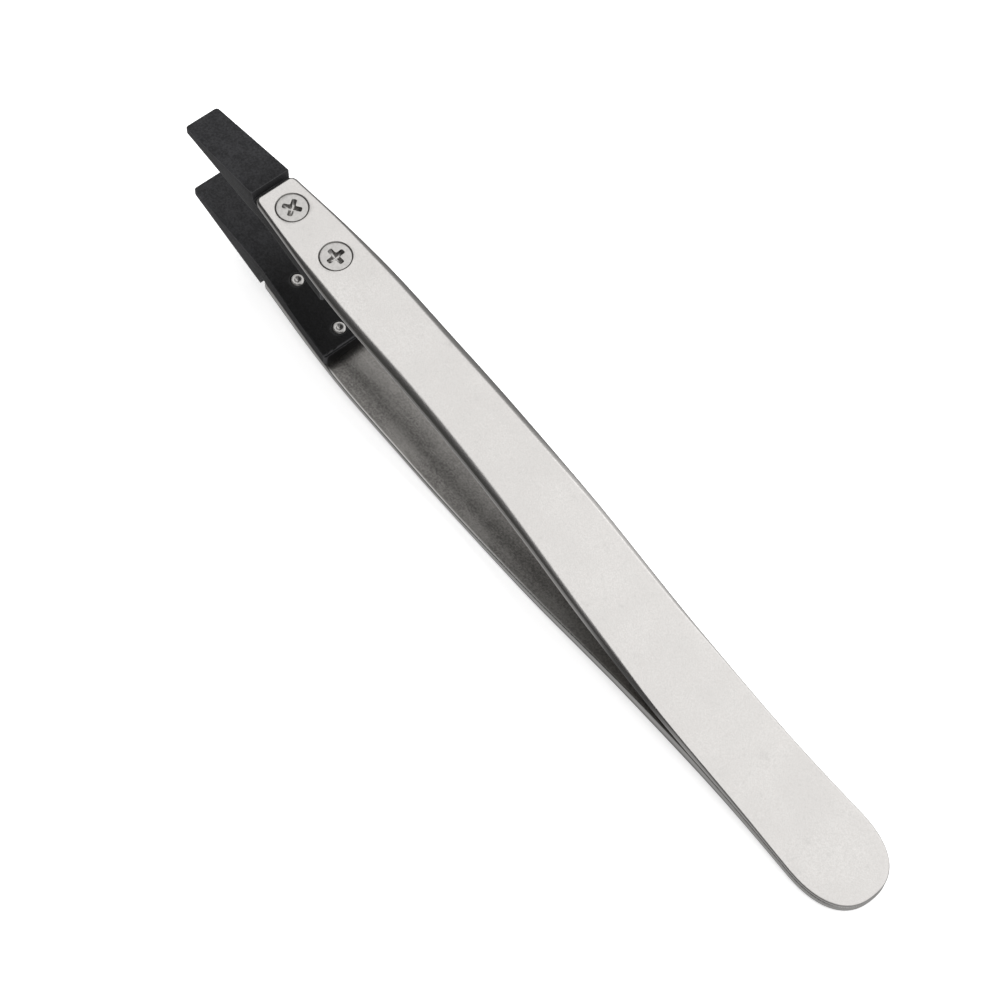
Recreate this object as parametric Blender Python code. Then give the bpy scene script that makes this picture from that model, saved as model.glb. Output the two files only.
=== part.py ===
# Precision tweezers: two formed steel arms welded at the heel, each with a screwed-on plastic tip.
#
# Frame: +X runs from the heel to the tips, +Z is the direction in which the jaws open, +Y is the width.
# The middle of the bounding box is the origin. Lengths in the constants are millimetres, and x is
# measured from the heel's end. The upper half is drawn, and the lower half is the same pieces turned
# half a turn about X.
import bpy
import bmesh
import numpy as np
from math import atan2, cos, pi, radians, sin
from mathutils import Matrix, Vector

MM = 0.001

# Overall
LENGTH = 128.0
GAP = 0.3                 # clearance between neighbouring solids

# Steel arm: outline knots (x, half width) and side-view knots (x, height of the outer face)
ARM_END = 112.4
HALF_WIDTH = [(8.0, 5.6), (16.0, 5.35), (36.0, 5.25), (48.0, 5.18), (62.0, 4.9), (80.0, 4.65), (95.0, 4.45),
              (112.4, 2.95)]
OUTER_FACE = [(0.0, 0.85), (14.0, 1.05), (25.0, 1.6), (36.0, 2.85), (45.0, 4.6), (56.0, 7.15), (72.0, 9.35),
              (90.0, 10.0), (112.4, 10.2)]
HEEL_ROUND = 8.0          # length of the heel's round end
HEEL_POWER = 2.4          # a little fuller than an ellipse
HEEL_INNER = 0.12         # height of the inner face where the two arms lie together
SHEET_MIDDLE = 1.6        # thickness where the arms part
SHEET_FRONT = 1.25        # thickness from the finger grip forward
THIN_FROM = 48.0
THIN_TO = 76.0
EDGE_HEEL = 0.15          # width of the outer face's rounded edge
EDGE_FRONT = 0.85
EDGE_GROWS = (24.0, 64.0)
EDGE_DROP = 0.6           # depth of that rounding, as a share of its width
FRONT_CORNER = 0.7

# Flexing: each arm bends about a line across it, a little ahead of the weld
PIVOT_X = 27.0
PIVOT_Z = 1.65

# Plastic tip
LEG_START = 97.2
LEG_INSET = 0.12          # the leg is this much narrower than the steel on each side
SHOULDER = 113.1
SHOULDER_Z = 10.6
TIP_HALF_WIDTH = 2.85     # at the shoulder
TIP_NARROWS = 0.35        # less than that at the front
TIP_FRONT_Z = 7.45
GRIP_FACE = [(97.2, 7.12), (109.0, 6.85), (114.0, 6.25), (128.0, 6.6)]
TIP_CORNER = 0.45
TIP_EDGE = 0.28

# Countersunk screws, size M2
SCREW_X = [108.6, 99.7]
HEAD_R = 1.86
HEAD_SUNK = 0.05
CONE_DEPTH = 0.9
SHANK_R = 0.95
SHANK_END_R = 0.78
SINK_R = 2.1
HOLE_R = 1.2
SCREW_PROUD = 0.12        # how far the end stands out of the leg
RECESS_SPAN = 1.2
RECESS_WIDTH = 0.56
RECESS_DEPTH = 0.6
DIMPLE_R = 0.42
DIMPLE_DEPTH = 0.25
ROUND_SEGMENTS = 24

STEEL = ("satin_steel", (0.80, 0.79, 0.77), 0.32, 1.0)
SCREW_STEEL = ("screw_steel", (0.62, 0.61, 0.60), 0.30, 1.0)
PLASTIC = ("black_plastic", (0.035, 0.035, 0.037), 0.55, 0.0)


def clear_scene():
    for obj in list(bpy.data.objects):
        bpy.data.objects.remove(obj, do_unlink=True)


def make_material(spec):
    name, colour, roughness, metallic = spec
    mat = bpy.data.materials.new(name)
    mat.use_nodes = True
    bsdf = mat.node_tree.nodes["Principled BSDF"]
    bsdf.inputs["Base Color"].default_value = (*colour, 1.0)
    bsdf.inputs["Roughness"].default_value = roughness
    bsdf.inputs["Metallic"].default_value = metallic
    mat.diffuse_color = (*colour, 1.0)
    return mat


def smooth_curve(knots, x):
    """Smooth line through the knots, with each knot's slope taken from its neighbours."""
    xs = [k[0] for k in knots]
    ys = [k[1] for k in knots]
    slopes = np.gradient(ys, xs)
    x = min(max(x, xs[0]), xs[-1])
    i = min(int(np.searchsorted(xs, x, side="right")) - 1, len(xs) - 2)
    step = xs[i + 1] - xs[i]
    t = (x - xs[i]) / step
    start = (2 * t**3 - 3 * t**2 + 1) * ys[i] + (t**3 - 2 * t**2 + t) * step * slopes[i]
    return start + (3 * t**2 - 2 * t**3) * ys[i + 1] + (t**3 - t**2) * step * slopes[i + 1]


def ease(x, low, high):
    t = min(max((x - low) / (high - low), 0.0), 1.0)
    return t * t * (3 - 2 * t)


def outer_z(x):
    return smooth_curve(OUTER_FACE, x)


def inner_z(x):
    """Height of the inner face: flat at the heel, then the steel's thickness below the outer face."""
    thickness = SHEET_MIDDLE + (SHEET_FRONT - SHEET_MIDDLE) * ease(x, THIN_FROM, THIN_TO)
    return max(outer_z(x) - thickness, HEEL_INNER)


def slope_at(x):
    return atan2(outer_z(x + 0.5) - outer_z(x - 0.5), 1.0)


def round_off(x, half_width, end, radius):
    """Half width of an outline whose front corners are rounded."""
    into = x - (end - radius)
    if into <= 0:
        return half_width
    return half_width - radius + (max(radius**2 - into**2, 0.0)) ** 0.5


def half_width(x):
    if x < HEEL_ROUND:
        return 0.0
    return round_off(x, smooth_curve(HALF_WIDTH, x), ARM_END, FRONT_CORNER)


def to_frame(x, y, z):
    return Vector(((x - LENGTH / 2) * MM, y * MM, z * MM))


def new_object(name, bm, material):
    bmesh.ops.recalc_face_normals(bm, faces=bm.faces)
    mesh = bpy.data.meshes.new(name)
    bm.to_mesh(mesh)
    bm.free()
    mesh.materials.append(material)
    mesh.shade_smooth()
    mesh.set_sharp_from_angle(angle=radians(35))
    obj = bpy.data.objects.new(name, mesh)
    bpy.context.scene.collection.objects.link(obj)
    return obj


def loft(rings):
    """Skin a row of closed rings and cap both ends."""
    bm = bmesh.new()
    rows = [[bm.verts.new(p) for p in ring] for ring in rings]
    count = len(rings[0])
    for a, b in zip(rows[:-1], rows[1:]):
        for i in range(count):
            j = (i + 1) % count
            bm.faces.new((a[i], a[j], b[j], b[i]))
    bm.faces.new(rows[0])
    bm.faces.new(rows[-1][::-1])
    return bm


def arm_ring(x, width):
    """Cross-section of the steel: flat inner face, outer face with rounded edges."""
    top = outer_z(x)
    low = inner_z(x)
    share = ease(x, *EDGE_GROWS)
    edge = min(EDGE_HEEL + (EDGE_FRONT - EDGE_HEEL) * share, width * 0.5)
    drop = edge * EDGE_DROP
    side = [(width, low), (width, top - drop)]
    side.append((width - edge * 0.3, top - drop * 0.29))
    side.append((width - edge, top))
    ring = [to_frame(x, y, z) for y, z in side]
    return ring + [to_frame(x, -y, z) for y, z in reversed(side)]


def heel_rings():
    rings = []
    start = radians(6)
    shift = 1 - cos(start) ** (2 / HEEL_POWER)
    for k in range(9):
        angle = start + (pi / 2 - start) * k / 8
        along = (1 - cos(angle) ** (2 / HEEL_POWER) - shift) / (1 - shift)
        width = half_width(HEEL_ROUND) * sin(angle) ** (2 / HEEL_POWER)
        rings.append(arm_ring(HEEL_ROUND * along, width))
    for x in np.linspace(HEEL_ROUND, PIVOT_X - GAP / 2, 8)[1:]:
        rings.append(arm_ring(float(x), half_width(x)))
    return rings


def blade_rings():
    stations = list(np.linspace(PIVOT_X + GAP / 2, ARM_END - FRONT_CORNER, 30))
    for k in range(1, 5):
        stations.append(ARM_END - FRONT_CORNER * (1 - sin(radians(20) * k)))
    return [arm_ring(float(x), half_width(x)) for x in stations]


def tip_half_width(x):
    leg = smooth_curve(HALF_WIDTH, x) - LEG_INSET
    body = TIP_HALF_WIDTH - TIP_NARROWS * max(x - SHOULDER, 0) / (LENGTH - SHOULDER)
    blend = ease(x, SHOULDER - 2, SHOULDER + 1)
    return round_off(x, leg + (body - leg) * blend, LENGTH, TIP_CORNER)


def tip_ring(x, top):
    """Cross-section of the plastic: a rectangle with softened corners."""
    width = tip_half_width(x)
    low = float(np.interp(x, [k[0] for k in GRIP_FACE], [k[1] for k in GRIP_FACE]))
    r = min(TIP_EDGE, (top - low) * 0.3)
    mid = r * 0.3
    side = [(width - r, low), (width - mid, low + mid), (width, low + r)]
    side += [(width, top - r), (width - mid, top - mid), (width - r, top)]
    ring = [to_frame(x, y, z) for y, z in side]
    return ring + [to_frame(x, -y, z) for y, z in reversed(side)]


def tip_rings():
    rings = []
    groove = SHOULDER - 0.1
    for x in np.append(np.linspace(LEG_START, 109.0, 6), [111.1, ARM_END, groove]):
        rings.append(tip_ring(float(x), inner_z(x) - GAP / 2))
    front = [SHOULDER, 114.0, 118.5, 123.0, LENGTH - TIP_CORNER]
    front += [LENGTH - TIP_CORNER * (1 - sin(radians(20) * k)) for k in range(1, 5)]
    for x in front + [LENGTH]:
        share = (x - SHOULDER) / (LENGTH - SHOULDER)
        rings.append(tip_ring(x, SHOULDER_Z + (TIP_FRONT_Z - SHOULDER_Z) * share))
    return rings


def turned(profile):
    """Solid of revolution about Z from (radius, height) points, top to bottom."""
    rings = []
    for r, z in profile:
        ring = []
        for k in range(ROUND_SEGMENTS):
            a = 2 * pi * k / ROUND_SEGMENTS
            ring.append(Vector((r * cos(a), r * sin(a), z)) * MM)
        rings.append(ring)
    return loft(rings)


def cross_ring(span, width, z):
    """Outline of a plus sign."""
    ring = []
    for k in range(4):
        turn = Matrix.Rotation(k * pi / 2, 3, "Z")
        for x, y in ((width, -width), (span, -width), (span, width)):
            ring.append(turn @ Vector((x, y, z)) * MM)
    return ring


def screw_place(x):
    """The screw's own axis: square to the outer face, origin on that face."""
    return Matrix.Translation(to_frame(x, 0, outer_z(x))) @ Matrix.Rotation(-slope_at(x), 4, "Y")


def cut(target, cutter):
    cutter.hide_render = True
    cutter.display_type = "WIRE"
    mod = target.modifiers.new("cut_" + cutter.name, "BOOLEAN")
    mod.operation = "DIFFERENCE"
    mod.solver = "EXACT"
    mod.object = cutter


def screw_length(x):
    grip = float(np.interp(x, [k[0] for k in GRIP_FACE], [k[1] for k in GRIP_FACE]))
    return outer_z(x) - grip + SCREW_PROUD


def make_screw(name, x, turn, material):
    end = -screw_length(x)
    cone = -HEAD_SUNK - CONE_DEPTH
    profile = [(HEAD_R - 0.06, -HEAD_SUNK), (HEAD_R, -HEAD_SUNK - 0.06), (SHANK_R, cone)]
    profile += [(SHANK_R, end + 0.15), (SHANK_END_R, end)]
    screw = new_object(name, turned(profile), material)
    recess = loft([
        cross_ring(RECESS_SPAN, RECESS_WIDTH / 2, 0.2),
        cross_ring(RECESS_SPAN, RECESS_WIDTH / 2, -HEAD_SUNK),
        cross_ring(RECESS_SPAN * 0.45, RECESS_WIDTH * 0.35, -HEAD_SUNK - RECESS_DEPTH)])
    recess = new_object(name + "_recess", recess, material)
    recess.rotation_euler = (0, 0, turn)
    dimple = turned([(0.06, end + DIMPLE_DEPTH), (DIMPLE_R, end), (DIMPLE_R, end - 0.2)])
    dimple = new_object(name + "_dimple", dimple, material)
    for cutter in (recess, dimple):
        cutter.parent = screw
        cut(screw, cutter)
    screw.matrix_local = screw_place(x)
    return screw


def make_hole_cutter(name, profile, x, material):
    cutter = new_object(name, turned(profile), material)
    cutter.matrix_local = screw_place(x)
    return cutter


def make_blade(name, material):
    blade = new_object(name, loft(blade_rings()), material)
    for k, x in enumerate(SCREW_X):
        slant = SINK_R - HOLE_R
        profile = [(SINK_R + 0.3, 0.3), (SINK_R, 0.0), (HOLE_R, -slant), (HOLE_R, -SHEET_FRONT - 0.5)]
        cutter = make_hole_cutter(f"{name}_sink_{k}", profile, x, material)
        cutter.parent = blade
        cut(blade, cutter)
    return blade


def make_tip(name, material):
    tip = new_object(name, loft(tip_rings()), material)
    for k, x in enumerate(SCREW_X):
        profile = [(SHANK_R + GAP / 2, 0.5), (SHANK_R + GAP / 2, -screw_length(x) - 1.0)]
        cutter = make_hole_cutter(f"{name}_hole_{k}", profile, x, material)
        cutter.parent = tip
        cut(tip, cutter)
    return tip


def make_half(side, half_turn, mats):
    """One arm with its tip and screws, hung from an empty at the middle of the part."""
    steel, screw_steel, plastic = mats
    half = bpy.data.objects.new(side + "_half", None)
    jaw = bpy.data.objects.new(side + "_jaw_pivot", None)
    for empty in (half, jaw):
        bpy.context.scene.collection.objects.link(empty)
    pivot = to_frame(PIVOT_X, 0, PIVOT_Z)
    jaw.parent = half
    jaw.location = pivot
    heel = new_object(side + "_arm_heel", loft(heel_rings()), steel)
    heel.parent = half
    moving = [make_blade(side + "_arm_blade", steel), make_tip(side + "_tip", plastic)]
    turns = (radians(43), radians(8)) if half_turn else (radians(38), radians(4))
    for place, x, turn in zip(("front", "rear"), SCREW_X, turns):
        moving.append(make_screw(f"{side}_screw_{place}", x, turn, screw_steel))
    for obj in moving:
        obj.parent = jaw
        obj.matrix_parent_inverse = Matrix.Translation(-pivot)
    if half_turn:
        half.rotation_euler = (pi, 0, 0)


def main():
    clear_scene()
    mats = [make_material(spec) for spec in (STEEL, SCREW_STEEL, PLASTIC)]
    make_half("upper", False, mats)
    make_half("lower", True, mats)
    bpy.context.view_layer.update()


main()
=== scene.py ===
# Precision tweezers: satin steel arms, screwed-on black plastic tips, on a pale floor in soft studio light.
#
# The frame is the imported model's: +X runs from the heel to the tips, +Z is the direction in which the jaws
# open, +Y is the width. Shape constants are in millimetres, and x is measured from the heel's end. The upper
# half is drawn, and the lower half is the same shape turned half a turn about X.
from math import atan2, cos, hypot, pi, radians, sin

import bmesh
import bpy
import numpy as np
from mathutils import Matrix, Vector


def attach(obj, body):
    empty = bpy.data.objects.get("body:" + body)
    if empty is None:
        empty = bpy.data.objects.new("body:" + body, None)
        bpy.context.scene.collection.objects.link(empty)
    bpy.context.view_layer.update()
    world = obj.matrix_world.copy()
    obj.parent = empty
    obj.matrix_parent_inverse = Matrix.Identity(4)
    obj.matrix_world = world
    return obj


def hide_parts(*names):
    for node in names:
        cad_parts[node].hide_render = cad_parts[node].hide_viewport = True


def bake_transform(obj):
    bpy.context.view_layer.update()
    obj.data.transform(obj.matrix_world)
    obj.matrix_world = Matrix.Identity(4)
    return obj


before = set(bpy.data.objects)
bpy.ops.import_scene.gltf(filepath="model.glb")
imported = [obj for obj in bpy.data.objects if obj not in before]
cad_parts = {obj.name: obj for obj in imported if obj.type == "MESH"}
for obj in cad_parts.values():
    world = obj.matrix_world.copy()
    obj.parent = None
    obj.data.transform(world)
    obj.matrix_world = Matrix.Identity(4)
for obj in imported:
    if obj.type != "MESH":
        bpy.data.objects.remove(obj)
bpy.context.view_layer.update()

MM = 0.001

# ---- dimensions shared with the CAD ----
LENGTH = 128.0
ARM_END = 112.4
HALF_WIDTH = [(8.0, 5.6), (16.0, 5.35), (36.0, 5.25), (48.0, 5.18), (62.0, 4.9), (80.0, 4.65), (95.0, 4.45),
              (112.4, 2.95)]
OUTER_FACE = [(0.0, 0.85), (14.0, 1.05), (25.0, 1.6), (36.0, 2.85), (45.0, 4.6), (56.0, 7.15), (72.0, 9.35),
              (90.0, 10.0), (112.4, 10.2)]
HEEL_ROUND = 8.0
HEEL_POWER = 2.4
HEEL_INNER = 0.12         # height of the inner face where the two arms lie together
RIM_MIDDLE = 1.6          # height of the arm's side where the arms part
RIM_FRONT = 1.25          # the same from the finger grip forward
RIM_THINS = (48.0, 76.0)
FRONT_CORNER = 0.7
LEG_START = 97.2
LEG_INSET = 0.12
SHOULDER = 113.1
SHOULDER_Z = 10.6
TIP_HALF_WIDTH = 2.85
TIP_NARROWS = 0.35
TIP_FRONT_Z = 7.45
GRIP_FACE = [(97.2, 7.12), (109.0, 6.85), (114.0, 6.25), (128.0, 6.6)]
TIP_CORNER = 0.45
SCREWS = {"front": 108.6, "rear": 99.7}

# ---- the screws ----
HEAD_R = 2.02
SHANK_R = 0.95
SHANK_END_R = 0.78
SINK_R = 2.1
SCREW_PROUD = 0.12        # how far the screw's end stands out of the grip side of the leg
RECESS_SPAN = 1.25        # from the middle to a wing's end
RECESS_HALF = 0.33        # half a wing's width
RECESS_DEPTH = 0.62
DIMPLE_R = 0.42
DIMPLE_DEPTH = 0.25
CROSS_INNER_R = 0.22      # fillet between two wings of the recess
CROSS_OUTER_R = 0.17      # rounding of a wing's end
CONE_END = -0.95          # height at which the head's cone meets the shank, from the head's top
DOME = 0.02               # height of the head's dome
RECESS_TURN = {"upper": {"front": 38, "rear": 4}, "lower": {"front": 43, "rear": 8}}  # in degrees

# ---- finer shape that only the looks need ----
SHEET = 0.95              # the steel's own thickness, between its turned-in edges
DISH_DEPTH = 0.28         # the most that the inner face lies behind those edges
# width of the outer face's rounded edge
EDGE_WIDTH = [(8.0, 0.12), (20.0, 0.15), (33.0, 0.25), (40.0, 0.55), (48.0, 0.7), (56.0, 0.82), (64.0, 1.0),
              (90.0, 1.0), (97.0, 0.85), (105.0, 0.42), (112.4, 0.35)]
EDGE_DROP = 0.72          # depth of that rounding, as a share of its width
EDGE_SLOPES = [(0.0, 0.0), (0.14, 24.0), (0.5, 37.0), (0.8, 52.0), (1.0, 90.0)]  # degrees along it
END_EDGE = 0.3            # width of that rounding at the arm's front end
EDGE_STEPS = 10
RIM_FILLET = 0.2          # rounding of the edge's inner side: its width
RIM_RISE = 0.5            # and its height
RIM_STEPS = 4
DISH_WIDTH = 2.4          # how far in from the side the inner face is curved
COLUMNS = 20
HOLE_ROWS = 16
SEAT_GAP = 0.06           # between the steel and the plastic leg
THREAD_PITCH = 0.4
THREAD_DEPTH = 0.14
TIP_BEVEL = 0.17
SINK_LIP = 0.08           # rounding of the countersink's mouth
SINK_STEPS = ((0.35, 0.2), (0.8, 0.65), (1.0, 1.0))  # shares of the lip across and down
SINK_DEPTH = 0.74         # depth of the countersink below its lip
SINK_TAPER = 0.8          # how much narrower the countersink is there
HOLE_RING_SHARES = (0.3, 0.62, 1.0)
HEEL_STEPS = 9            # rows on the heel's curve
HEEL_FADE = 16            # rows over which the heel's curve straightens
FRONT_FADE = 5
HOLE_MARGIN = 0.5         # plain steel kept round each hole in the grid
ROW_STEP = 1.0
ROW_STEP_FRONT = 0.5
LEG_CORNER = 0.3
LEG_HOLE_REACH = 2.2
LEG_ROW_STEP = 0.6
TIP_ROW_STEP = 0.9
LEG_ROWS_END = 0.35       # before the shoulder
WALL_STEP = 0.05          # width of the shoulder's steep wall
LEG_FADE = 1              # rows over which the leg's and the tip's ends straighten
TIP_FADE = 4
BORE_GAP = 0.05           # between a screw's shank and the plastic
BORE_STEP = 0.22          # width of the relief under the steel
BORE_STEP_DEPTH = 0.3
SMOOTH_ANGLE = 35         # degrees between faces up to which shading is smooth
TIP_SMOOTH_ANGLE = 50
BEVEL_ANGLE = 38
BEND_FULL = 24            # degrees at which a bend counts as fully marked
INWARD_GAIN = 1.4
SIDE_FROM = 0.8           # upright share of the normal below which a face counts as a side
SIDE_RANGE = 0.3


def smooth_curve(knots, x):
    """Smooth line through the knots, with each knot's slope taken from its neighbours."""
    xs = [k[0] for k in knots]
    ys = [k[1] for k in knots]
    slopes = np.gradient(ys, xs)
    x = min(max(x, xs[0]), xs[-1])
    i = min(int(np.searchsorted(xs, x, side="right")) - 1, len(xs) - 2)
    step = xs[i + 1] - xs[i]
    t = (x - xs[i]) / step
    start = (2 * t**3 - 3 * t**2 + 1) * ys[i] + (t**3 - 2 * t**2 + t) * step * slopes[i]
    return start + (3 * t**2 - 2 * t**3) * ys[i + 1] + (t**3 - t**2) * step * slopes[i + 1]


def straight_curve(knots, x):
    return float(np.interp(x, [k[0] for k in knots], [k[1] for k in knots]))


def ease(x, low, high):
    t = min(max((x - low) / (high - low), 0.0), 1.0)
    return t * t * (3 - 2 * t)


# ---- the arm's surfaces ----

def arm_half_width(x):
    return smooth_curve(HALF_WIDTH, x)


def outer_z(x):
    return smooth_curve(OUTER_FACE, x)


def rim_z(x):
    """The lowest line of the arm's side: flat at the heel, then the side's height below the outer face."""
    height = RIM_MIDDLE + (RIM_FRONT - RIM_MIDDLE) * ease(x, *RIM_THINS)
    return max(outer_z(x) - height, HEEL_INNER)


def inner_z(x, y):
    """The arm's inner face, dished between its turned-in edges."""
    from_side = max(arm_half_width(x) - abs(y) - RIM_FILLET, 0.0)
    curve = 1 - (1 - min(from_side / DISH_WIDTH, 1.0)) ** 2
    depth = min(max(outer_z(x) - SHEET - rim_z(x), 0.0), DISH_DEPTH)
    return rim_z(x) + depth * curve


def slope_at(x):
    return outer_z(x + 0.5) - outer_z(x - 0.5)


def edge_width(x):
    """Width of the outer face's rounded edge."""
    return smooth_curve(EDGE_WIDTH, x)


def edge_profile(steps):
    """The rounded edge from the face outward, as shares of its width and of its depth."""
    across = down = 0.0
    points = []
    for k in range(steps):
        angle = radians(straight_curve(EDGE_SLOPES, (k + 0.5) / steps))
        across += cos(angle)
        down += sin(angle)
        points.append((across, down))
    return [(a / across, d / down) for a, d in points]


# ---- the plastic tip's surfaces ----

def tip_half_width(x):
    leg = arm_half_width(x) - LEG_INSET
    body = TIP_HALF_WIDTH - TIP_NARROWS * max(x - SHOULDER, 0) / (LENGTH - SHOULDER)
    return leg + (body - leg) * ease(x, SHOULDER - 2, SHOULDER + 1)


def leg_z(x, y):
    return inner_z(min(x, ARM_END), y) - SEAT_GAP


def tip_z(x):
    share = (x - SHOULDER) / (LENGTH - SHOULDER)
    return SHOULDER_Z + (TIP_FRONT_Z - SHOULDER_Z) * share


def grip_z(x):
    return straight_curve(GRIP_FACE, x)


# ---- outlines ----

def rounded_end(y, half_width, end, radius, forward):
    """x of a straight end whose corners are rounded, at distance y from the middle."""
    into = max(abs(y) - (half_width - radius), 0.0)
    back = radius - (max(radius**2 - into**2, 0.0)) ** 0.5
    return end - back if forward else end + back


def heel_end(y):
    share = min(abs(y) / arm_half_width(HEEL_ROUND), 1.0)
    return HEEL_ROUND * (1 - (1 - share**HEEL_POWER) ** (1 / HEEL_POWER))


def corner_side(half_width, end, radius, forward, steps=4):
    """The half of a rounded corner that belongs to the side, from the side to the corner's middle."""
    points = []
    for k in range(1, steps + 1):
        angle = radians(45) * k / steps
        x = radius * (1 - sin(angle))
        y = half_width(end) - radius * (1 - cos(angle))
        points.append((end - x if forward else end + x, y))
    return points


def fill(start, side, end, spread, fade):
    """Grid of plan points inside an outline that is the same on both sides of the middle line.

    start and end hold one point per column, side one point per row. fade is how many rows it takes
    for an end's curve to straighten."""
    last = len(side) - 1
    grid = []
    for i, (x, y) in enumerate(side):
        near_start = 1 - ease(i, 0, fade[0])
        near_end = 1 - ease(last - i, 0, fade[1])
        row = []
        for j, s in enumerate(spread):
            px = x + near_start * (start[j][0] - side[0][0]) + near_end * (end[j][0] - side[-1][0])
            from_start = start[j][1] - side[0][1] * s
            from_end = end[j][1] - side[-1][1] * s
            py = y * s + near_start * from_start + near_end * from_end
            row.append((px, py))
        grid.append(row)
    return grid


def around(grid):
    """The border of a grid as a closed loop: first row, right side, last row, left side."""
    loop = list(grid[0])
    loop += [row[-1] for row in grid[1:]]
    loop += list(grid[-1][-2::-1])
    loop += [row[0] for row in grid[-2:0:-1]]
    return loop


def outward(loop):
    """Outward unit normals of a closed loop of plan points."""
    points = np.array(loop)
    along = np.roll(points, -1, axis=0) - np.roll(points, 1, axis=0)
    normals = np.stack([along[:, 1], -along[:, 0]], axis=1)
    normals /= np.linalg.norm(normals, axis=1)[:, None]
    middle = points.mean(axis=0)
    if ((points - middle) * normals).sum() < 0:
        normals = -normals
    return normals


def shrink(grid, insets, spread, fade):
    """The same grid with its border moved inward, by one distance per border point."""
    loop = around(grid)
    moved = np.array(loop) - outward(loop) * np.array(insets)[:, None]
    columns, rows = len(spread), len(grid)
    start = moved[:columns]
    side = moved[columns - 1:columns + rows - 1]
    end = moved[columns + rows - 2:2 * columns + rows - 2][::-1]
    return fill(start, side, end, spread, fade)


# ---- mesh building ----

class Skin:
    """Points and faces of one closed mesh, in millimetres."""

    def __init__(self):
        self.points = []
        self.faces = []

    def loop(self, points):
        first = len(self.points)
        self.points += [tuple(p) for p in points]
        return list(range(first, len(self.points)))

    def join(self, a, b):
        """Quads between two closed loops."""
        for k in range(len(a)):
            n = (k + 1) % len(a)
            self.faces.append((a[k], a[n], b[n], b[k]))

    def fan(self, loop, point):
        middle = self.loop([point])[0]
        for k in range(len(loop)):
            self.faces.append((loop[k], loop[(k + 1) % len(loop)], middle))

    def sheet(self, plan, height, holes):
        """A face made of a grid. height(x, y, row) gives its z. Each hole is (first row, last row, centre x,
        radius) and takes the whole width. Returns the border loop and one loop per hole."""
        blocked = [row for first, last, _, _ in holes for row in range(first + 1, last)]
        inside = set(blocked)
        ids = []
        for i, row in enumerate(plan):
            if i in inside:
                ends = self.loop([(*row[j], height(*row[j], i)) for j in (0, -1)])
                ids.append([ends[0]] + [None] * (len(row) - 2) + [ends[1]])
            else:
                ids.append(self.loop([(*p, height(*p, i)) for p in row]))
        for i in range(len(plan) - 1):
            if i in inside or i + 1 in inside:
                continue
            for j in range(len(plan[i]) - 1):
                self.faces.append((ids[i][j], ids[i][j + 1], ids[i + 1][j + 1], ids[i + 1][j]))
        circles = []
        for first, last, centre, radius in holes:
            border = around(ids[first:last + 1])
            corners = [self.points[k][:2] for k in border]
            loop = border
            for share in HOLE_RING_SHARES:
                ring = []
                for x, y in corners:
                    angle = atan2(y, x - centre)
                    cx, cy = centre + radius * cos(angle), radius * sin(angle)
                    px, py = x + (cx - x) * share, y + (cy - y) * share
                    ring.append((px, py, height(px, py, first)))
                ring = self.loop(ring)
                self.join(loop, ring)
                loop = ring
            circles.append(loop)
        return around(ids), circles

    def circle_like(self, loop, centre, radius, z):
        """A loop with the same angles as an earlier one round the same axis."""
        ring = []
        for k in loop:
            x, y, _ = self.points[k]
            angle = atan2(y, x - centre)
            ring.append((centre + radius * cos(angle), radius * sin(angle), z))
        return self.loop(ring)

    def make(self, name, lower, material):
        """The Blender object, in metres and in the model's frame."""
        side = -1 if lower else 1
        mesh = bpy.data.meshes.new(name)
        points = [((x - LENGTH / 2) * MM, side * y * MM, side * z * MM) for x, y, z in self.points]
        mesh.from_pydata(points, [], self.faces)
        bm = bmesh.new()
        bm.from_mesh(mesh)
        bmesh.ops.recalc_face_normals(bm, faces=bm.faces)
        bm.to_mesh(mesh)
        bm.free()
        mesh.materials.append(material)
        mesh.shade_smooth()
        mesh.set_sharp_from_angle(angle=radians(SMOOTH_ANGLE))
        obj = bpy.data.objects.new(name, mesh)
        bpy.context.scene.collection.objects.link(obj)
        return obj


def apply_modifiers(obj):
    depsgraph = bpy.context.evaluated_depsgraph_get()
    mesh = bpy.data.meshes.new_from_object(obj.evaluated_get(depsgraph))
    obj.modifiers.clear()
    obj.data = mesh


def mark_surface(obj, lower):
    """Marks per point for the materials: how sharply it bends, and if it faces inward or sideways."""
    mesh = obj.data
    bm = bmesh.new()
    bm.from_mesh(mesh)
    bends = []
    inward = []
    sideways = []
    for v in bm.verts:
        angles = [e.calc_face_angle(0.0) for e in v.link_edges]
        bends.append(min(max(angles) / radians(BEND_FULL), 1.0))
        inward.append(min(max(-v.normal.z * (-1 if lower else 1) * INWARD_GAIN, 0.0), 1.0))
        sideways.append(min(max((SIDE_FROM - abs(v.normal.z)) / SIDE_RANGE, 0.0), 1.0))
    bm.free()
    for name, values in (("bend_mark", bends), ("inward_mark", inward), ("side_mark", sideways)):
        mark = mesh.attributes.new(name, "FLOAT", "POINT")
        mark.data.foreach_set("value", np.array(values, np.float32))


# ---- the arm ----

def even_steps(start, end, step):
    count = max(round((end - start) / step), 1)
    return list(np.linspace(start, end, count + 1))


def arm_stations():
    """x of each straight row, and the row ranges that hold the screw holes."""
    reach = SINK_R + HOLE_MARGIN
    xs = even_steps(HEEL_ROUND, SCREWS["rear"] - reach, ROW_STEP)
    holes = []
    for place, follow in (("rear", SCREWS["front"] - reach), ("front", ARM_END - FRONT_CORNER)):
        centre = SCREWS[place]
        first = len(xs) - 1
        xs += list(np.linspace(centre - reach, centre + reach, HOLE_ROWS + 1))[1:]
        holes.append((first, len(xs) - 1, centre))
        if follow > xs[-1] + 0.2:
            xs += even_steps(xs[-1], follow, ROW_STEP_FRONT)[1:]
    return xs, holes


def column_spread():
    u = np.linspace(-1, 1, COLUMNS + 1)
    return list(0.55 * u + 0.45 * np.sin(u * pi / 2))


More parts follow.
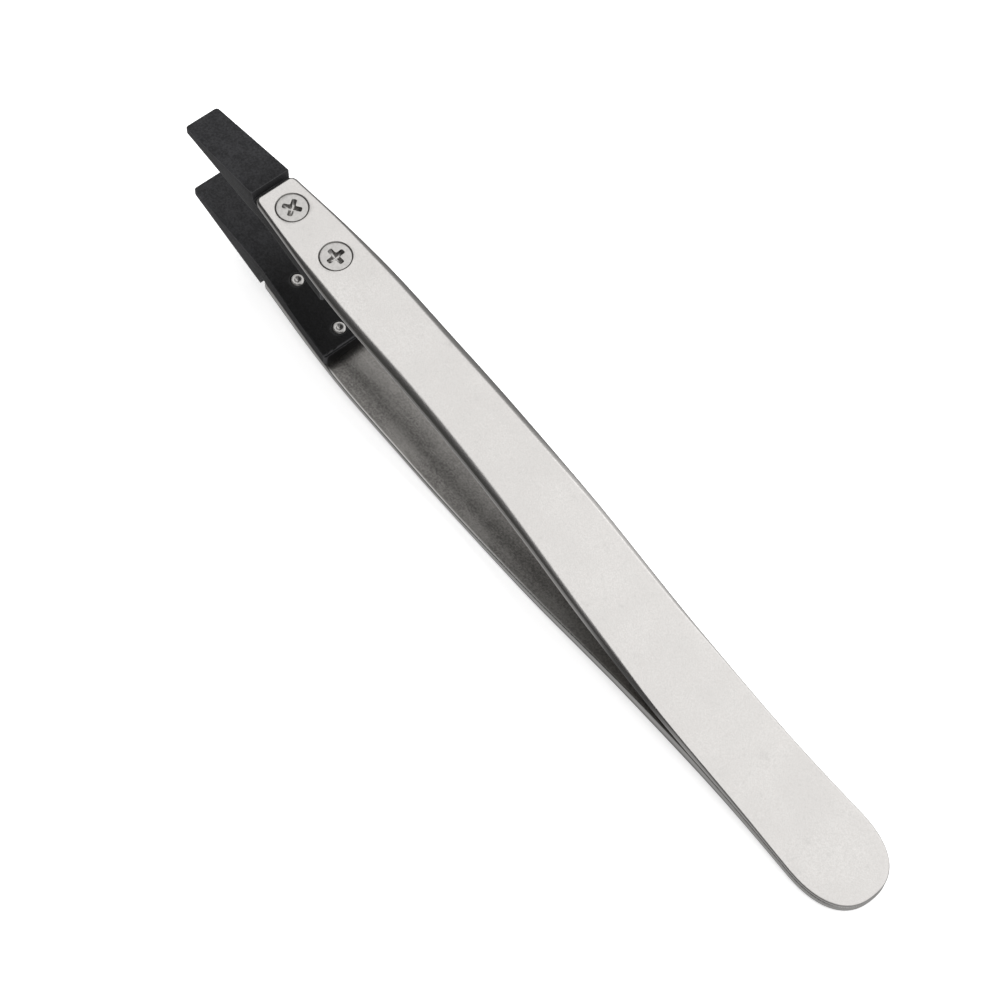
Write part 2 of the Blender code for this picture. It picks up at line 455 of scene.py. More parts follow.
def arm_plan(spread):
    """Plan points of the arm and the rows that hold its screw holes."""
    side = []
    for k in range(HEEL_STEPS):
        angle = radians(45 + 45 * k / HEEL_STEPS)
        along = HEEL_ROUND * (1 - cos(angle) ** (2 / HEEL_POWER))
        side.append((along, arm_half_width(HEEL_ROUND) * sin(angle) ** (2 / HEEL_POWER)))
    xs, holes = arm_stations()
    holes = [(first + HEEL_STEPS, last + HEEL_STEPS, centre) for first, last, centre in holes]
    side += [(x, arm_half_width(x)) for x in xs]
    side += corner_side(arm_half_width, ARM_END, FRONT_CORNER, True)
    start = [(heel_end(s * side[0][1]), s * side[0][1]) for s in spread]
    end = []
    for s in spread:
        y = s * side[-1][1]
        end.append((rounded_end(y, arm_half_width(ARM_END), ARM_END, FRONT_CORNER, True), y))
    return fill(start, side, end, spread, (HEEL_FADE, FRONT_FADE)), holes


def make_arm(name, lower, material):
    spread = column_spread()
    fade = (HEEL_FADE, FRONT_FADE)
    outline, holes = arm_plan(spread)
    border = around(outline)
    facing = outward(border)
    edges = []
    for (x, _), (nx, ny) in zip(border, facing):
        end_edge = END_EDGE if x > LENGTH / 2 else edge_width(x)
        edges.append(edge_width(x) * ny**2 + end_edge * nx**2)

    def border_ring(insets, height):
        moved = np.array(border) - facing * np.array(insets)[:, None]
        return [(x, y, height(x, k)) for k, (x, y) in enumerate(moved)]

    skin = Skin()
    mouth = SINK_R + SINK_LIP
    top_holes = [(first, last, centre, mouth) for first, last, centre in holes]
    top, top_circles = skin.sheet(shrink(outline, edges, spread, fade), lambda x, y, i: outer_z(x), top_holes)
    loop = top
    for across, down in edge_profile(EDGE_STEPS):
        insets = [e * (1 - across) for e in edges]
        drops = [e * EDGE_DROP * down for e in edges]
        ring = skin.loop(border_ring(insets, lambda x, k: outer_z(x) - drops[k]))
        skin.join(loop, ring)
        loop = ring
    rim = []
    for k in range(RIM_STEPS):
        angle = radians(90) * k / RIM_STEPS
        inset = RIM_FILLET * (1 - cos(angle))
        rise = RIM_RISE * (1 - sin(angle))
        ring = skin.loop(border_ring([inset] * len(border), lambda x, k: rim_z(x) + rise))
        skin.join(loop, ring)
        loop = ring
        rim += ring
    low_holes = [(first, last, centre, SINK_R - SINK_TAPER) for first, last, centre in holes]
    low_plan = shrink(outline, [RIM_FILLET] * len(border), spread, fade)
    low, low_circles = skin.sheet(low_plan, lambda x, y, i: inner_z(x, y), low_holes)
    skin.join(loop, low)
    for upper_ring, lower_ring, (_, _, centre) in zip(top_circles, low_circles, holes):
        face = outer_z(centre)
        steps = [(SINK_LIP * across, SINK_LIP * down) for across, down in SINK_STEPS]
        steps.append((SINK_LIP + SINK_TAPER, SINK_LIP + SINK_DEPTH))
        loop = upper_ring
        for inset, depth in steps:
            ring = skin.circle_like(upper_ring, centre, mouth - inset, face - depth)
            skin.join(loop, ring)
            loop = ring
        skin.join(loop, lower_ring)
    arm = skin.make(name, lower, material)
    mark_surface(arm, lower)
    # the rims' rounding and the inner face's border, where the steel gets a painted highlight
    rim_values = np.zeros(len(skin.points), np.float32)
    rim_values[rim + low] = 1.0
    arm.data.attributes.new("rim_mark", "FLOAT", "POINT").data.foreach_set("value", rim_values)
    return arm


# ---- the plastic tip ----

def tip_plan(spread):
    """Plan points of the tip, which part of it each row belongs to, and the rows that hold its bores."""
    side = list(reversed(corner_side(tip_half_width, LEG_START, LEG_CORNER, False, 2)))
    rows = [(x, "leg") for x, _ in side]
    holes = []
    xs = [LEG_START + LEG_CORNER, SCREWS["rear"] - LEG_HOLE_REACH]
    for place, follow in (("rear", SCREWS["front"] - LEG_HOLE_REACH), ("front", SHOULDER - LEG_ROWS_END)):
        centre = SCREWS[place]
        first = len(xs) - 1
        xs += list(np.linspace(centre - LEG_HOLE_REACH, centre + LEG_HOLE_REACH, HOLE_ROWS + 1))[1:]
        holes.append((first + len(side), len(xs) - 1 + len(side), centre))
        xs += even_steps(xs[-1], follow, LEG_ROW_STEP)[1:]
    rows += [(x, "leg") for x in xs] + [(SHOULDER - WALL_STEP, "leg")]
    rows += [(SHOULDER, "wall")]
    body = [SHOULDER + 0.4] + even_steps(SHOULDER + 1.0, LENGTH - TIP_CORNER, TIP_ROW_STEP)
    rows += [(x, "tip") for x in body]
    side += [(x, tip_half_width(x)) for x, _ in rows[len(side):]]
    corner = corner_side(tip_half_width, LENGTH, TIP_CORNER, True)
    rows += [(x, "tip") for x, _ in corner]
    side += corner
    start = []
    end = []
    for s in spread:
        y = s * side[0][1]
        start.append((rounded_end(y, tip_half_width(LEG_START), LEG_START, LEG_CORNER, False), y))
        y = s * side[-1][1]
        end.append((rounded_end(y, tip_half_width(LENGTH), LENGTH, TIP_CORNER, True), y))
    parts = [part for _, part in rows]
    return fill(start, side, end, spread, (LEG_FADE, TIP_FADE)), parts, holes


def make_tip(name, lower, material):
    plan, parts, holes = tip_plan(column_spread())

    def top_z(x, y, i):
        return leg_z(x, y) if parts[i] == "leg" else tip_z(x)

    skin = Skin()
    bore = SHANK_R + BORE_GAP
    top, top_circles = skin.sheet(plan, top_z, [(*h, bore + BORE_STEP) for h in holes])
    low, low_circles = skin.sheet(plan, lambda x, y, i: grip_z(x), [(*h, bore) for h in holes])
    loop = top
    for share in (0.33, 0.67):
        ring = []
        for a, b in zip(top, low):
            x, y, z = skin.points[a]
            ring.append((x, y, z + (skin.points[b][2] - z) * share))
        ring = skin.loop(ring)
        skin.join(loop, ring)
        loop = ring
    skin.join(loop, low)
    for upper_ring, lower_ring, (_, _, centre) in zip(top_circles, low_circles, holes):
        step = skin.circle_like(upper_ring, centre, bore, leg_z(centre, 0) - BORE_STEP_DEPTH)
        skin.join(upper_ring, step)
        skin.join(step, lower_ring)
    tip = skin.make(name, lower, material)
    bevel = tip.modifiers.new("edges", "BEVEL")
    bevel.limit_method = "ANGLE"
    bevel.angle_limit = radians(BEVEL_ANGLE)
    bevel.width = TIP_BEVEL * MM
    bevel.segments = 3
    apply_modifiers(tip)
    tip.data.shade_smooth()
    tip.data.set_sharp_from_angle(angle=radians(TIP_SMOOTH_ANGLE))
    mark_surface(tip, lower)
    return tip


# ---- screws ----

def cross_outline():
    """A plus sign with rounded wing ends and filleted inner corners, from one inner corner round."""
    centre = RECESS_HALF + CROSS_INNER_R
    quarter = []
    for angle in (135, 112, 90):
        a = radians(angle)
        quarter.append((centre + CROSS_INNER_R * cos(a), -centre + CROSS_INNER_R * sin(a)))
    quarter.append((RECESS_SPAN * 0.7, -RECESS_HALF))
    end_x = RECESS_SPAN - CROSS_OUTER_R
    end_y = -RECESS_HALF + CROSS_OUTER_R
    for angle in (-90, -45, 0):
        a = radians(angle)
        quarter.append((end_x + CROSS_OUTER_R * cos(a), end_y + CROSS_OUTER_R * sin(a)))
    mirrored = [(x, -y) for x, y in reversed(quarter[1:])]
    quarter = quarter + [(RECESS_SPAN, 0.0)] + mirrored
    outline = []
    for k in range(4):
        turn = Matrix.Rotation(radians(90) * k, 2)
        outline += [tuple(turn @ Vector(p)) for p in quarter]
    return outline


def make_screw(name, x, turn, lower, material):
    outline = cross_outline()
    count = len(outline)
    grip = grip_z(x)
    end = grip - outer_z(x) - SCREW_PROUD
    skin = Skin()

    def round_ring(radius, z):
        ring = []
        for k in range(count):
            angle = 2 * pi * k / count - radians(45)
            ring.append((radius * cos(angle), radius * sin(angle), z))
        return ring

    def cross_ring(scale, z):
        return [(px * scale, py * scale, z) for px, py in outline]

    def dome(px, py):
        return -DOME * (hypot(px, py) / HEAD_R) ** 2

    # the recess, from its floor up to the head
    floor = skin.loop(cross_ring(0.42, -RECESS_DEPTH))
    skin.fan(floor, (0.0, 0.0, -RECESS_DEPTH - 0.07))
    loop = floor
    for scale, z in ((0.62, -RECESS_DEPTH + 0.1), (0.92, -0.22), (0.98, -0.07), (1.02, -0.015)):
        ring = skin.loop(cross_ring(scale, z))
        skin.join(loop, ring)
        loop = ring
    rim = HEAD_R - 0.1
    start = np.array(cross_ring(1.02, 0))[:, :2]
    target = np.array(round_ring(rim, 0))[:, :2]
    for share in (0.12, 0.4, 0.7, 1.0):
        flat = start + (target - start) * share
        ring = skin.loop([(px, py, dome(px, py)) for px, py in flat])
        skin.join(loop, ring)
        loop = ring
    edge = dome(rim, 0)
    for radius, z in ((HEAD_R - 0.05, edge - 0.01), (HEAD_R - 0.015, edge - 0.045), (HEAD_R, edge - 0.09),
                      (SHANK_R + 0.02, CONE_END), (SHANK_R, CONE_END - 0.06)):
        ring = skin.loop(round_ring(radius, z))
        skin.join(loop, ring)
        loop = ring
    # the thread: a helix cut into the shank
    top_z = CONE_END - 0.12
    bottom_z = end + 0.2
    for z in even_steps(top_z, bottom_z, -THREAD_PITCH / 6):
        ring = []
        for px, py, _ in round_ring(1.0, z):
            phase = (z / THREAD_PITCH - atan2(py, px) / (2 * pi)) % 1.0
            cut = THREAD_DEPTH * (1 - abs(2 * phase - 1)) ** 0.8
            fade = min((top_z - z) / 0.2, (z - bottom_z) / 0.15, 1.0)
            radius = SHANK_R - cut * max(fade, 0.0)
            ring.append((px * radius, py * radius, z))
        ring = skin.loop(ring)
        skin.join(loop, ring)
        loop = ring
    for radius, rise in ((SHANK_R - 0.02, 0.14), (SHANK_END_R + 0.04, 0.02), (SHANK_END_R - 0.04, 0.0),
                         (DIMPLE_R + 0.05, 0.01), (DIMPLE_R, 0.03), (DIMPLE_R - 0.04, 0.09),
                         (0.14, DIMPLE_DEPTH)):
        ring = skin.loop(round_ring(radius, end + rise))
        skin.join(loop, ring)
        loop = ring
    skin.fan(loop, (0.0, 0.0, end + DIMPLE_DEPTH + 0.02))
    # from the screw's own axis to the arm's
    place = Matrix.Translation((x, 0, outer_z(x)))
    place = place @ Matrix.Rotation(-atan2(slope_at(x), 1.0), 4, "Y") @ Matrix.Rotation(radians(turn), 4, "Z")
    skin.points = [tuple(place @ Vector(p)) for p in skin.points]
    screw = skin.make(name, lower, material)
    mark_surface(screw, lower)
    return screw


# ---- materials ----

# places along the part, from its middle
CUT_DARKENS = (-38.0, -30.0)    # painted shade on the upper arm's cut edge in the bend
CUT_LIGHTENS = (-17.0, -25.0)
INSIDE_DARKENS = (-24.0, -6.0)  # the inner faces are darker towards the front: painted shade
INSIDE_LIGHTENS = (2.5, -5.0)   # and brighter towards one long side: a painted reflection
PLASTIC_LEG_SHADE_FADES = (44.0, 54.0)  # the plastic lightens towards the front: painted shade on the legs under the steel

# colours, and pairs of colours that a pattern mixes
STEEL_FACE = ((0.62, 0.603, 0.587), (0.66, 0.643, 0.626))
STEEL_GRAIN = (0.58, 0.564, 0.548)
STEEL_SMUDGE = (0.45, 0.443, 0.43)
STEEL_PITS = (0.50, 0.493, 0.48)
# inner faces: darker mottled steel, with painted shade making the front darker than the rear
INSIDE_REAR = ((0.25, 0.241, 0.23), (0.40, 0.387, 0.37))
INSIDE_FRONT = ((0.108, 0.104, 0.099), (0.2, 0.192, 0.182))
INSIDE_BANDS = (0.24, 0.231, 0.22)
# painted reflection across the inner faces
INSIDE_PAINTED_REFLECTION = (0.42, 0.405, 0.387)
INSIDE_LINES = (0.36, 0.349, 0.335)
# cut edges: darker sheared steel, with painted shade making the lower arm's darker than the upper's
CUT_TONE_AND_PAINTED_SHADE = ((0.19, 0.186, 0.18), (0.40, 0.391, 0.378))
# painted shade on the upper arm's cut edge in the bend
CUT_BEND_PAINTED_SHADE = (0.08, 0.078, 0.074)
# painted highlight along the rims
RIM_PAINTED_HIGHLIGHT = (0.72, 0.706, 0.69)
SCREW_SHADES = ((0.46, 0.45, 0.437), (0.54, 0.528, 0.514))
# painted shade on the screws' steep faces, chiefly the recess walls
SCREW_RECESS_PAINTED_SHADE = (0.2, 0.195, 0.19)
# the legs under the steel are darker: painted shade
PLASTIC_LEG_PAINTED_SHADE = ((0.002, 0.002, 0.0022), (0.009, 0.009, 0.0097))
PLASTIC_FRONT = ((0.016, 0.016, 0.0172), (0.04, 0.04, 0.0428))
# lighter edges: partly wear, partly painted highlight
PLASTIC_EDGE_WEAR_AND_HIGHLIGHT = (0.085, 0.085, 0.089)
PAPER = ((0.88, 0.88, 0.88), (0.91, 0.91, 0.91))
PAPER_GLOW = 0.6


class Shader:
    """A small help for building node trees."""

    def __init__(self, name):
        self.material = bpy.data.materials.new(name)
        self.material.use_nodes = True
        self.nodes = self.material.node_tree.nodes
        self.links = self.material.node_tree.links
        self.bsdf = self.nodes["Principled BSDF"]

    def put(self, node, socket, value):
        if isinstance(value, bpy.types.NodeSocket):
            self.links.new(value, node.inputs[socket])
        else:
            node.inputs[socket].default_value = value

    def position(self):
        """The place on the piece, in millimetres."""
        coords = self.nodes.new("ShaderNodeTexCoord")
        scale = self.nodes.new("ShaderNodeVectorMath")
        scale.operation = "SCALE"
        self.links.new(coords.outputs["Object"], scale.inputs[0])
        scale.inputs["Scale"].default_value = 1 / MM
        return scale.outputs[0]

    def stretch(self, vector, factors, move=(0.0, 0.0, 0.0)):
        node = self.nodes.new("ShaderNodeMapping")
        self.put(node, "Vector", vector)
        node.inputs["Scale"].default_value = factors
        node.inputs["Location"].default_value = move
        return node.outputs[0]

    def noise(self, vector, scale, detail, roughness):
        node = self.nodes.new("ShaderNodeTexNoise")
        self.put(node, "Vector", vector)
        node.inputs["Scale"].default_value = scale
        node.inputs["Detail"].default_value = detail
        node.inputs["Roughness"].default_value = roughness
        return node.outputs["Fac"]

    def cells(self, vector, scale):
        node = self.nodes.new("ShaderNodeTexVoronoi")
        self.put(node, "Vector", vector)
        node.inputs["Scale"].default_value = scale
        return node.outputs["Distance"]

    def math(self, operation, a, b, c=0.0):
        node = self.nodes.new("ShaderNodeMath")
        node.operation = operation
        for k, value in enumerate((a, b, c)):
            self.put(node, k, value)
        return node.outputs[0]

    def remap(self, value, low, high):
        node = self.nodes.new("ShaderNodeMapRange")
        node.interpolation_type = "SMOOTHSTEP"
        for socket, v in (("Value", value), ("From Min", low), ("From Max", high)):
            self.put(node, socket, v)
        return node.outputs["Result"]

    def axis(self, vector, name):
        node = self.nodes.new("ShaderNodeSeparateXYZ")
        self.links.new(vector, node.inputs[0])
        return node.outputs[name]

    def mark(self, name):
        node = self.nodes.new("ShaderNodeAttribute")
        node.attribute_name = name
        return node.outputs["Fac"]

    def mix(self, factor, a, b):
        node = self.nodes.new("ShaderNodeMix")
        node.data_type = "RGBA"
        self.put(node, "Factor", factor)
        for socket, value in (("A", a), ("B", b)):
            target = [s for s in node.inputs if s.name == socket and s.type == "RGBA"][0]
            if isinstance(value, bpy.types.NodeSocket):
                self.links.new(value, target)
            else:
                target.default_value = (*value, 1.0)
        return [s for s in node.outputs if s.type == "RGBA"][0]

    def bump(self, height, strength, distance):
        node = self.nodes.new("ShaderNodeBump")
        node.inputs["Strength"].default_value = strength
        node.inputs["Distance"].default_value = distance * MM
        self.put(node, "Height", height)
        return node.outputs["Normal"]


def satin_steel():
    """Bead-blasted stainless: grain and handling marks outside, darker mottled steel with drawn scratches
    inside, darker sheared cut edges; painted shade and a painted reflection on the inner faces and cut edges,
    and a painted highlight along the rims.
    """
    s = Shader("satin_steel")
    at = s.position()
    grain = s.noise(at, 6.0, 3.0, 0.65)
    pits = s.noise(at, 2.6, 2.0, 0.5)
    cloud = s.noise(at, 0.16, 3.0, 0.55)
    mottle = s.noise(at, 3.6, 4.0, 0.6)
    bands = s.noise(s.stretch(at, (0.12, 0.5, 0.5)), 1.0, 2.0, 0.5)
    inward = s.mark("inward_mark")
    bend = s.mark("bend_mark")
    sideways = s.mark("side_mark")
    lines = s.noise(s.stretch(at, (0.3, 5.0, 5.0)), 1.4, 4.0, 0.65)
    smudge = s.remap(s.noise(s.stretch(at, (1.0, 1.0, 1.0), (3.1, 0.0, 1.7)), 0.42, 5.0, 0.62), 0.62, 0.78)
    face = s.mix(s.remap(cloud, 0.3, 0.7), *STEEL_FACE)
    face = s.mix(s.math("MULTIPLY", s.remap(grain, 0.38, 0.62), 0.8), face, STEEL_GRAIN)
    face = s.mix(s.math("MULTIPLY", smudge, 0.35), face, STEEL_SMUDGE)
    face = s.mix(s.math("MULTIPLY", s.remap(pits, 0.55, 0.8), 0.4), face, STEEL_PITS)
    mottle = s.remap(mottle, 0.34, 0.66)
    along = s.axis(at, "X")
    rear = s.mix(mottle, *INSIDE_REAR)
    front = s.mix(mottle, *INSIDE_FRONT)
    front = s.mix(s.math("MULTIPLY", s.remap(bands, 0.4, 0.7), 0.5), front, INSIDE_BANDS)
    # painted shade: the inner faces darken towards the front
    inner_tone_and_painted_light = s.mix(s.remap(along, *INSIDE_DARKENS), rear, front)
    # painted reflection: the inner faces lighten towards -Y
    across = s.remap(s.axis(at, "Y"), *INSIDE_LIGHTENS)
    inner_tone_and_painted_light = s.mix(s.math("MULTIPLY", across, 0.42), inner_tone_and_painted_light, INSIDE_PAINTED_REFLECTION)
    inner_tone_and_painted_light = s.mix(s.math("MULTIPLY", s.remap(lines, 0.54, 0.74), 0.5), inner_tone_and_painted_light, INSIDE_LINES)
    # painted shade on the upper arm's cut edge in the bend, between CUT_DARKENS and CUT_LIGHTENS
    dark = s.math("MULTIPLY", s.remap(along, *CUT_DARKENS), s.remap(along, *CUT_LIGHTENS))
    upper = s.remap(s.axis(at, "Z"), -0.5, 0.5)
    dark = s.math("MULTIPLY", dark, upper)
    # the lower arm's cut edge is darker than the upper's: painted shade
    cut = s.mix(dark, s.mix(upper, *CUT_TONE_AND_PAINTED_SHADE), CUT_BEND_PAINTED_SHADE)
    colour = s.mix(inward, face, inner_tone_and_painted_light)
    colour = s.mix(sideways, colour, cut)
    # painted highlight on the rims, left out where the bend's painted shade is
    rim = s.math("MULTIPLY", s.mark("rim_mark"), s.math("SUBTRACT", 1.0, dark))
    colour = s.mix(s.math("MULTIPLY", rim, 0.85), colour, RIM_PAINTED_HIGHLIGHT)
    s.put(s.bsdf, "Base Color", colour)
    s.bsdf.inputs["Metallic"].default_value = 1.0
    rough = s.math("MULTIPLY_ADD", grain, 0.16, 0.22)
    rough = s.math("MULTIPLY_ADD", smudge, 0.06, rough)
    rough = s.math("MULTIPLY_ADD", sideways, 0.12, rough)
    s.put(s.bsdf, "Roughness", s.math("MULTIPLY_ADD", s.remap(bend, 0.7, 1.0), -0.05, rough))
    streaks = s.math("MULTIPLY", s.math("MULTIPLY", lines, inward), 0.5)
    s.put(s.bsdf, "Normal", s.bump(s.math("ADD", grain, streaks), 0.6, 0.02))
    return s.material


def screw_steel():
    """Nickel-plated steel with a fine blasted grain, with painted shade on its steep faces, chiefly in the
    recess.
    """
    s = Shader("screw_steel")
    at = s.position()
    grain = s.noise(at, 12.0, 3.0, 0.6)
    blotch = s.noise(at, 3.0, 3.0, 0.6)
    sideways = s.mark("side_mark")
    colour = s.mix(s.remap(blotch, 0.3, 0.7), *SCREW_SHADES)
    # painted shade on the steep faces, chiefly in the recess
    s.put(s.bsdf, "Base Color", s.mix(s.math("MULTIPLY", sideways, 0.7), colour, SCREW_RECESS_PAINTED_SHADE))
    s.bsdf.inputs["Metallic"].default_value = 1.0
    s.put(s.bsdf, "Roughness", s.math("MULTIPLY_ADD", grain, 0.16, 0.22))
    s.put(s.bsdf, "Normal", s.bump(s.math("ADD", grain, s.math("MULTIPLY", blotch, 0.6)), 0.4, 0.012))
    return s.material


def black_plastic():
    """Filled antistatic plastic: matt, fine moulded grain; painted shade on the legs under the steel, and
    edges a little lighter, partly worn and partly a painted highlight.
    """
    s = Shader("black_plastic")
    at = s.position()
    grain = s.noise(at, 3.4, 4.0, 0.7)
    speck = s.cells(at, 3.0)
    cloud = s.noise(at, 0.6, 4.0, 0.6)
    bend = s.mark("bend_mark")
    # painted shade: the legs under the steel are darker, fading out towards the tips
    leg_shade_fade = s.remap(s.axis(at, "X"), *PLASTIC_LEG_SHADE_FADES)
    mottle = s.remap(s.math("MULTIPLY_ADD", grain, 0.7, s.math("MULTIPLY", cloud, 0.3)), 0.38, 0.62)
    leg = s.mix(mottle, *PLASTIC_LEG_PAINTED_SHADE)
    front = s.mix(mottle, *PLASTIC_FRONT)
    colour = s.mix(leg_shade_fade, leg, front)
    # lighter edges: partly wear, partly painted highlight
    colour = s.mix(s.math("MULTIPLY", s.remap(bend, 0.4, 0.9), 0.75), colour, PLASTIC_EDGE_WEAR_AND_HIGHLIGHT)
    s.put(s.bsdf, "Base Color", colour)
    rough = s.math("MULTIPLY_ADD", grain, 0.24, 0.36)
    s.put(s.bsdf, "Roughness", s.math("MULTIPLY_ADD", cloud, 0.1, rough))
    s.bsdf.inputs["Specular IOR Level"].default_value = 0.2
    height = s.math("ADD", grain, s.math("MULTIPLY", speck, 0.35))
    s.put(s.bsdf, "Normal", s.bump(height, 0.6, 0.05))
    return s.material


def floor_paper():
    """Matt white, and lit through a little from below, as a light table is."""
    s = Shader("floor_paper")
    at = s.position()
    fibre = s.noise(at, 2.5, 4.0, 0.6)
    s.put(s.bsdf, "Base Color", s.mix(fibre, *PAPER))
    s.bsdf.inputs["Roughness"].default_value = 0.9
    s.bsdf.inputs["Specular IOR Level"].default_value = 0.1
    s.bsdf.inputs["Emission Color"].default_value = (1.0, 1.0, 1.0, 1.0)
    s.bsdf.inputs["Emission Strength"].default_value = PAPER_GLOW
    s.put(s.bsdf, "Normal", s.bump(fibre, 0.1, 0.02))
    return s.material


# ---- stage, light and camera ----

REST_X = 66.0             # the lower arm's bulge touches the floor here, and the heel touches it too
FLOOR_REACH = 3.0         # metres
FLOOR_MIDDLE = 0.4        # metres, half the width of its middle strip
FLOOR_CLEARANCE = 0.12
FLOOR_STATIONS = (-70.0, -55.0, -40.0, -25.0, -12.0, 0.0, 40.0, 90.0, 140.0, 160.0, 175.0, 190.0, 210.0)
FLOOR_BENDS_BEFORE = (-10.0, 90.0)  # where the slope starts to level off, and how gently
FLOOR_BENDS_AFTER = (140.0, 120.0)


def make_floor():
    """A broad sheet on which the tweezers rest on the heel and the lower arm's bulge."""
    heel_z = -outer_z(1.0)
    slope = (outer_z(REST_X) - outer_z(1.0)) / (REST_X - 1.0)
    level = []
    for x in FLOOR_STATIONS:
        before = max(FLOOR_BENDS_BEFORE[0] - x, 0.0)
        drop = min(before**2 / FLOOR_BENDS_BEFORE[1] * slope, before * slope)
        after = max(x - FLOOR_BENDS_AFTER[0], 0.0)
        lift = min(after**2 / FLOOR_BENDS_AFTER[1] * slope, after * slope)
        z = heel_z - FLOOR_CLEARANCE - slope * (x - 1.0) - drop + lift
        level.append(((x - LENGTH / 2) * MM, z * MM))
    first, last = level[0][1], level[-1][1]
    profile = [(-FLOOR_REACH, first), (-0.5, first)] + level + [(0.5, last), (FLOOR_REACH, last)]
    widths = [-FLOOR_REACH, -FLOOR_MIDDLE, FLOOR_MIDDLE, FLOOR_REACH]
    points = [(x, y, z) for x, z in profile for y in widths]
    faces = []
    for i in range(len(profile) - 1):
        for j in range(len(widths) - 1):
            k = i * len(widths) + j
            faces.append((k, k + 1, k + len(widths) + 1, k + len(widths)))
    mesh = bpy.data.meshes.new("floor")
    mesh.from_pydata(points, [], faces)
    mesh.materials.append(floor_paper())
    mesh.shade_smooth()
    floor = bpy.data.objects.new("floor", mesh)
    bpy.context.scene.collection.objects.link(floor)
    floor.visible_glossy = False


SKY_LEAN = 0.35           # the bright part overhead leans this much towards -Y
ROOM_LEVEL = 0.33
FLOOR_LINE = (-0.35, -0.08)  # the flags fade out below the horizon
CEILING = (0.68, 0.92)    # height at which the bright part starts and is full
CEILING_LEVEL = 1.0
TOP = (0.9, 1.06)         # and the same for its slightly darker middle
TOP_LEVEL = 0.92
WORLD_STRENGTH = 1.35
# each flag is its direction, where it starts and is full, and its brightness
FLAGS = (((0.5, 0.866, 0.0), (0.22, 0.45), 0.035), ((0.3, -0.954, 0.0), (0.5, 0.8), 0.16))


def make_world():
    """A grey room that is bright overhead, with a dark flag on each long side of the tweezers."""
    world = bpy.data.worlds.new("studio")
    bpy.context.scene.world = world
    world.use_nodes = True
    nodes, links = world.node_tree.nodes, world.node_tree.links
    direction = nodes.new("ShaderNodeTexCoord").outputs["Generated"]

    def towards(axis):
        node = nodes.new("ShaderNodeVectorMath")
        node.operation = "DOT_PRODUCT"
        links.new(direction, node.inputs[0])
        node.inputs[1].default_value = axis
        return node.outputs["Value"]

    def rising(value, low, high):
        node = nodes.new("ShaderNodeMapRange")
        node.interpolation_type = "SMOOTHSTEP"
        links.new(value, node.inputs["Value"])
        node.inputs["From Min"].default_value = low
        node.inputs["From Max"].default_value = high
        return node.outputs["Result"]

    def times(a, b):
        node = nodes.new("ShaderNodeMath")
        node.operation = "MULTIPLY"
        links.new(a, node.inputs[0])
        links.new(b, node.inputs[1])
        return node.outputs[0]

    def blend(factor, before, after):
        node = nodes.new("ShaderNodeMix")
        links.new(factor, node.inputs["Factor"])
        if isinstance(before, float):
            node.inputs["A"].default_value = before
        else:
            links.new(before, node.inputs["A"])
        node.inputs["B"].default_value = after
        return node.outputs["Result"]

    height = towards((0.0, -SKY_LEAN, 1.0))
    above_floor = rising(height, *FLOOR_LINE)
    level = ROOM_LEVEL
    for axis, (low, high), brightness in FLAGS:
        level = blend(times(rising(towards(axis), low, high), above_floor), level, brightness)
    level = blend(rising(height, *CEILING), level, CEILING_LEVEL)
    level = blend(rising(height, *TOP), level, TOP_LEVEL)
    background = nodes["Background"]
    links.new(level, background.inputs["Color"])
    background.inputs["Strength"].default_value = WORLD_STRENGTH


def add_softbox(name, place, aim, size, power, mirrored=False):
    """A broad lamp, placed in metres. A mirrored one shows only in reflections, and any other never does."""
    light = bpy.data.lights.new(name, "AREA")
    light.shape = "RECTANGLE"
    light.size, light.size_y = size
    light.energy = power
    obj = bpy.data.objects.new(name, light)
    obj.location = place
    obj.rotation_mode = "QUATERNION"
    obj.rotation_quaternion = (Vector(aim) - Vector(place)).to_track_quat("-Z", "Y")
    obj.visible_glossy = mirrored
    obj.visible_diffuse = not mirrored
    obj.visible_camera = False
    bpy.context.scene.collection.objects.link(obj)


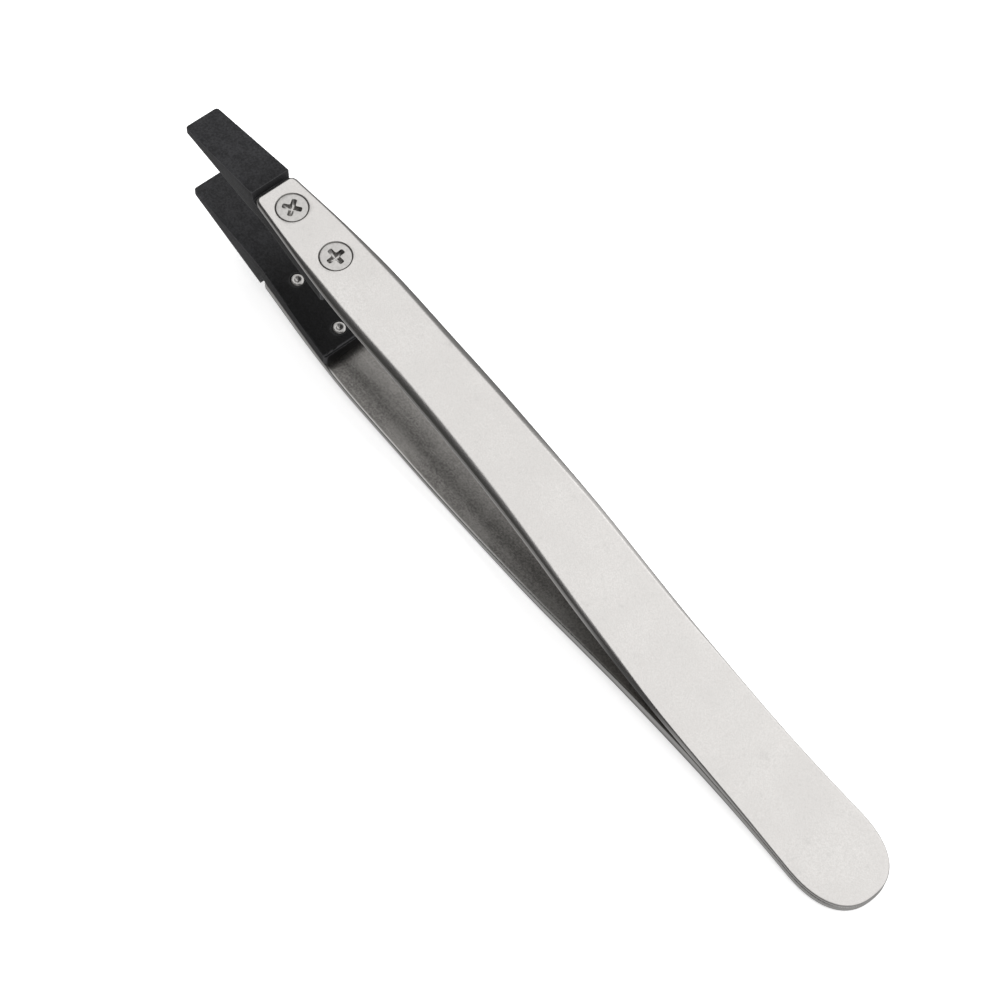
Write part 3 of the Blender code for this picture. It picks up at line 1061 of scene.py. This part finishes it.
CAMERA_AZIMUTH = 137.668  # direction from the tweezers to the camera, in degrees from +X towards +Y
CAMERA_ELEVATION = 63.276
CAMERA_ROLL = 3.886
CAMERA_DISTANCE = 316.0
CAMERA_AIM = (65.43, 1.30, -1.03)
CAMERA_LENS = 93.49


def make_camera():
    azimuth, elevation, roll = (radians(a) for a in (CAMERA_AZIMUTH, CAMERA_ELEVATION, CAMERA_ROLL))
    back = Vector((cos(elevation) * cos(azimuth), cos(elevation) * sin(azimuth), sin(elevation)))
    right = Vector((0, 0, 1)).cross(back).normalized()
    up = back.cross(right)
    turned_right = right * cos(roll) + up * sin(roll)
    turned_up = up * cos(roll) - right * sin(roll)
    x, y, z = CAMERA_AIM
    aim = Vector((x - LENGTH / 2, y, z)) * MM
    camera = bpy.data.cameras.new("camera")
    camera.lens = CAMERA_LENS
    camera.sensor_width = 36.0
    camera.clip_start = 0.01
    camera.clip_end = 20.0
    obj = bpy.data.objects.new("camera", camera)
    obj.matrix_world = Matrix.LocRotScale(
        aim + back * CAMERA_DISTANCE * MM,
        Matrix((turned_right, turned_up, back)).transposed().to_quaternion(),
        None)
    bpy.context.scene.collection.objects.link(obj)
    bpy.context.scene.camera = obj


# ---- assembly ----


def assemble():
    steel = satin_steel()
    screw = screw_steel()
    plastic = black_plastic()
    for half, side in (("upper", 1), ("lower", -1)):
        lower = half == "lower"
        jaw = half + "_jaw"
        arm = make_arm(f"{half}_arm", lower, steel)
        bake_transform(arm)
        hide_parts(f"{half}_arm_heel", f"{half}_arm_blade")
        tip = make_tip(f"{half}_plastic_tip", lower, plastic)
        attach(tip, jaw)
        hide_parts(f"{half}_tip")
        for place, x in SCREWS.items():
            piece = make_screw(f"{half}_{place}_screw", x, RECESS_TURN[half][place], lower, screw)
            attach(piece, jaw)
            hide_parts(f"{half}_screw_{place}")


make_camera()
make_world()
make_floor()
add_softbox("overhead", place=(0.12, -0.12, 0.62), aim=(0.0, 0.0, 0.0), size=(0.8, 0.8), power=2.3)
add_softbox("side_card", place=(-0.035, -0.06, 0.035), aim=(-0.035, 0.0, 0.035), size=(0.09, 0.09),
            power=0.012, mirrored=True)
assemble()
bpy.context.scene.view_settings.view_transform = "Standard"
